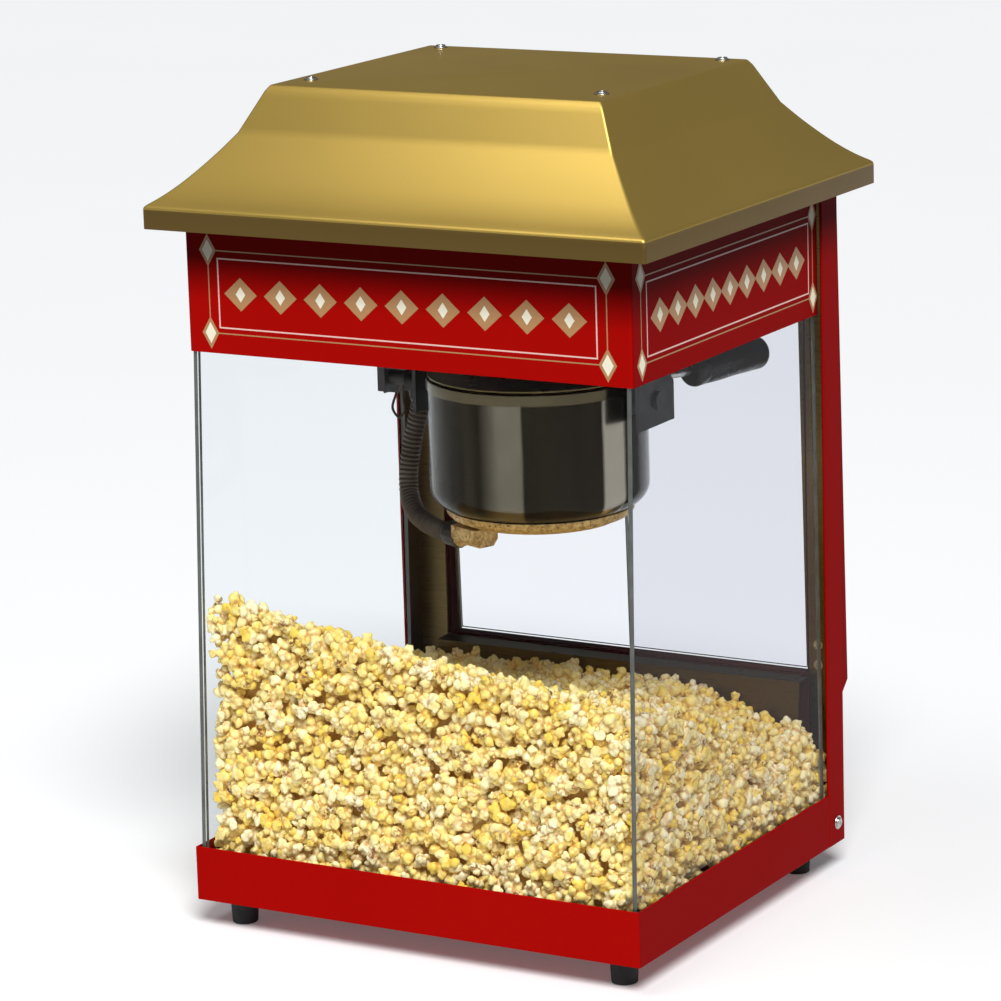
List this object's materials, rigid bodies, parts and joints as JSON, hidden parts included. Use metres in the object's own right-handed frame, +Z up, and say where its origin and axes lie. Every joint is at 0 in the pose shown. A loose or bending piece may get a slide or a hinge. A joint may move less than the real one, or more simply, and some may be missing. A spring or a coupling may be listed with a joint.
{
  "type": "popcorn maker",
  "caption": "Countertop popcorn maker: glazed cabinet on a tray base with a flared roof, tilting kettle, side-hinged rear doors and a crumb drawer.",
  "frame": {"origin": "centre of the object's footprint at the surface that the feet stand on", "axes": "+Z up, -Y towards the front, +X to the right as seen from the front"},
  "size_m": [0.502, 0.447, 0.7673],
  "materials": {
    "red_paint": "gloss red enamel",
    "gold_paint": "satin gold metallic enamel",
    "stainless": "satin, brown tinted",
    "dark_steel": "dark grey satin",
    "kettle_steel": "polished, heat stained",
    "pan_steel": "oil stained",
    "zinc": "zinc plated",
    "rubber": "matte black",
    "black_plastic": "dark phenolic",
    "conduit": "ribbed black",
    "glass": "clear tempered",
    "acrylic": "clear",
    "lamp_glass": "warm frosted",
    "popcorn": "buttery popped corn"
  },
  "bodies": {
    "cabinet": {"base_tray": "red_paint", "cabinet_floor": "dark_steel", "glazing_channel": "dark_steel", "glass_front": "glass", "glass_left": "glass", "glass_right": "glass", "post_left": "red_paint", "post_right": "red_paint", "post_liner_left": "stainless", "post_liner_right": "stainless", "rear_lower_panel": "red_paint", "rear_control_panel": "red_paint", "door_surround": "red_paint", "rear_ledge": "stainless", "switch_bezel": "black_plastic", "mains_inlet": "black_plastic", "sign_band": "red_paint", "ceiling_deck": "stainless", "roof_frame": "zinc", "roof_shell": "gold_paint", "post_screw_left": "zinc", "post_screw_right": "zinc", "hanger_left": "dark_steel", "hanger_right": "dark_steel", "junction_box": "dark_steel", "lamp_socket": "black_plastic", "lamp_bulb": "lamp_glass", "popcorn_heap": "popcorn", "foot_front_left": "rubber", "foot_front_right": "rubber", "foot_rear_left": "rubber", "foot_rear_right": "rubber", "roof_screw_1": "zinc", "roof_screw_2": "zinc", "roof_screw_3": "zinc", "roof_screw_4": "zinc"},
    "door_left": {"door_left_pane": "acrylic", "door_left_rail": "stainless", "door_left_knob": "black_plastic"},
    "door_right": {"door_right_pane": "acrylic", "door_right_rail": "stainless", "door_right_knob": "black_plastic"},
    "drawer": {"crumb_drawer": "stainless"},
    "rocker_motor": {"rocker_motor": "black_plastic"},
    "rocker_heat": {"rocker_heat": "black_plastic"},
    "rocker_light": {"rocker_light": "black_plastic"},
    "kettle": {"kettle_pot": "kettle_steel", "kettle_pan": "pan_steel", "heating_element": "dark_steel", "kettle_yoke": "dark_steel", "agitator_motor": "dark_steel", "terminal_cover": "pan_steel", "conduit": "conduit", "conduit_elbow": "black_plastic", "hitch_clip": "zinc", "handle_rod": "zinc", "handle_grip": "black_plastic"},
    "lid_front": {"lid_front": "stainless"},
    "lid_rear": {"lid_rear": "stainless"},
    "agitator": {"agitator": "stainless"}
  },
  "joints": [
    {"name": "kettle_tilt", "type": "hinge", "parent": "cabinet", "child": "kettle", "pos_m": [0.0147, 0.0056, 0.475], "axis": [1, 0, 0], "range_deg": [0, 95]},
    {"name": "lid_front_hinge", "type": "hinge", "parent": "kettle", "child": "lid_front", "pos_m": [0.0147, -0.0214, 0.495], "axis": [-1, 0, 0], "range_deg": [0, 75]},
    {"name": "lid_rear_hinge", "type": "hinge", "parent": "kettle", "child": "lid_rear", "pos_m": [0.0147, 0.0326, 0.495], "axis": [1, 0, 0], "range_deg": [0, 75]},
    {"name": "agitator_spin", "type": "hinge", "parent": "kettle", "child": "agitator", "pos_m": [0.0147, 0.0056, 0.42], "axis": [0, 0, 1], "continuous": true},
    {"name": "door_left_hinge", "type": "hinge", "parent": "cabinet", "child": "door_left", "pos_m": [-0.1894, 0.1992, 0.177], "axis": [0, -0.0246, 0.9997], "range_deg": [0, 90]},
    {"name": "door_right_hinge", "type": "hinge", "parent": "cabinet", "child": "door_right", "pos_m": [0.1894, 0.1992, 0.177], "axis": [0, 0.0246, -0.9997], "range_deg": [0, 90]},
    {"name": "drawer_slide", "type": "slide", "parent": "cabinet", "child": "drawer", "axis": [0, 1, 0], "range_m": [0, 0.22]},
    {"name": "rocker_motor_switch", "type": "hinge", "parent": "cabinet", "child": "rocker_motor", "pos_m": [-0.056, 0.1882, 0.6], "axis": [-1, 0, 0], "range_deg": [0, 18]},
    {"name": "rocker_heat_switch", "type": "hinge", "parent": "cabinet", "child": "rocker_heat", "pos_m": [0, 0.1882, 0.6], "axis": [-1, 0, 0], "range_deg": [0, 18]},
    {"name": "rocker_light_switch", "type": "hinge", "parent": "cabinet", "child": "rocker_light", "pos_m": [0.056, 0.1882, 0.6], "axis": [-1, 0, 0], "range_deg": [0, 18]}
  ]
}
